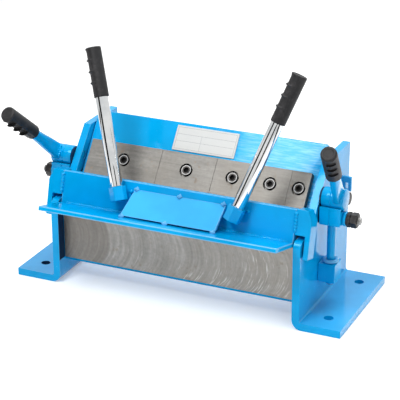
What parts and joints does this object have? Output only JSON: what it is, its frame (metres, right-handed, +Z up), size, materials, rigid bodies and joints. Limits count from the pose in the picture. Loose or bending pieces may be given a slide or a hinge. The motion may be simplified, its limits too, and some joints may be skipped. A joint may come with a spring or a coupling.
{
  "type": "finger brake",
  "caption": "Bench-top box-and-pan sheet metal brake with clamping fingers on a leaning beam, eccentric clamp levers and a folding leaf with two handles.",
  "frame": {"origin": "on the bench surface, under the middle of the object's bounding box", "axes": "+X along the bed to the user's right, +Y from the user toward the back, +Z up from the bench"},
  "size_m": [0.4416, 0.2176, 0.3048],
  "materials": {
    "blue_paint": "bright blue gloss paint on steel plate",
    "ground_steel": "bare ground steel with a light oil film",
    "black_steel": "black oxide on steel fasteners",
    "chrome": "polished chrome plate",
    "black_grip": "matt black moulded grip",
    "label_sheet": "pale blank label plate"
  },
  "bodies": {
    "frame": {"left_end_frame": "blue_paint", "right_end_frame": "blue_paint", "bed_bar": "ground_steel", "bed_backing": "blue_paint", "left_pivot_bolt": "black_steel", "right_pivot_bolt": "black_steel", "left_bracket": "blue_paint", "right_bracket": "blue_paint", "left_guide_block": "blue_paint", "right_guide_block": "blue_paint", "left_guide_ring": "blue_paint", "right_guide_ring": "blue_paint", "left_release_spring": "black_steel", "right_release_spring": "black_steel"},
    "beam": {"clamp_beam": "blue_paint", "label_plate": "label_sheet", "finger_100": "ground_steel", "finger_75": "ground_steel", "finger_50_left": "ground_steel", "finger_50_right": "ground_steel", "finger_25": "ground_steel", "finger_100_screw": "black_steel", "finger_75_screw": "black_steel", "finger_50_left_screw": "black_steel", "finger_50_right_screw": "black_steel", "finger_25_screw": "black_steel", "left_beam_arm": "blue_paint", "right_beam_arm": "blue_paint", "left_clamp_stud": "black_steel", "right_clamp_stud": "black_steel", "left_clamp_block": "blue_paint", "right_clamp_block": "blue_paint", "left_clamp_spacer": "blue_paint", "right_clamp_spacer": "blue_paint", "left_clamp_nut": "black_steel", "right_clamp_nut": "black_steel", "right_lock_nut": "black_steel"},
    "leaf": {"leaf_bar": "blue_paint", "leaf_shelf": "blue_paint", "leaf_gusset": "blue_paint", "left_leaf_ear": "blue_paint", "right_leaf_ear": "blue_paint", "left_hinge_pin": "black_steel", "right_hinge_pin": "black_steel", "left_handle_socket": "blue_paint", "right_handle_socket": "blue_paint", "left_handle_rod": "chrome", "right_handle_rod": "chrome", "left_handle_grip": "black_grip", "right_handle_grip": "black_grip"},
    "left_lever": {"left_lever_hub": "blue_paint", "left_lever_arm": "blue_paint", "left_lever_grip": "black_grip"},
    "right_lever": {"right_lever_hub": "blue_paint", "right_lever_arm": "blue_paint", "right_lever_grip": "black_grip"},
    "left_rod": {"left_release_rod": "blue_paint"},
    "right_rod": {"right_release_rod": "blue_paint"}
  },
  "joints": [
    {"name": "leaf_hinge", "type": "hinge", "parent": "frame", "child": "leaf", "pos_m": [0, -0.04522, 0.1025], "axis": [1, 0, 0], "range_deg": [0, 105]},
    {"name": "left_lever_turn", "type": "hinge", "parent": "frame", "child": "left_lever", "pos_m": [-0.1835, 0.01261, 0.1496], "axis": [-1, 0, 0], "range_deg": [0, 100]},
    {"name": "right_lever_turn", "type": "hinge", "parent": "frame", "child": "right_lever", "pos_m": [0.1835, 0.01261, 0.1496], "axis": [-1, 0, 0], "range_deg": [0, 100]},
    {"name": "beam_pivot", "type": "hinge", "parent": "frame", "child": "beam", "pos_m": [0, 0.08128, 0.12], "axis": [-1, 0, 0], "range_deg": [0, 2.4]},
    {"name": "left_rod_slide", "type": "slide", "parent": "frame", "child": "left_rod", "axis": [0, 0, 1], "range_m": [0, 0.00222]},
    {"name": "right_rod_slide", "type": "slide", "parent": "frame", "child": "right_rod", "axis": [0, 0, 1], "range_m": [0, 0.00222]}
  ],
  "couplings": [
    {"joint": "right_lever_turn", "follows": "left_lever_turn", "ratio": 1},
    {"joint": "beam_pivot", "follows": "left_lever_turn", "ratio": 0.024},
    {"joint": "left_rod_slide", "follows": "left_lever_turn", "m_per_rad": 0.001269},
    {"joint": "right_rod_slide", "follows": "left_lever_turn", "m_per_rad": 0.001269}
  ]
}
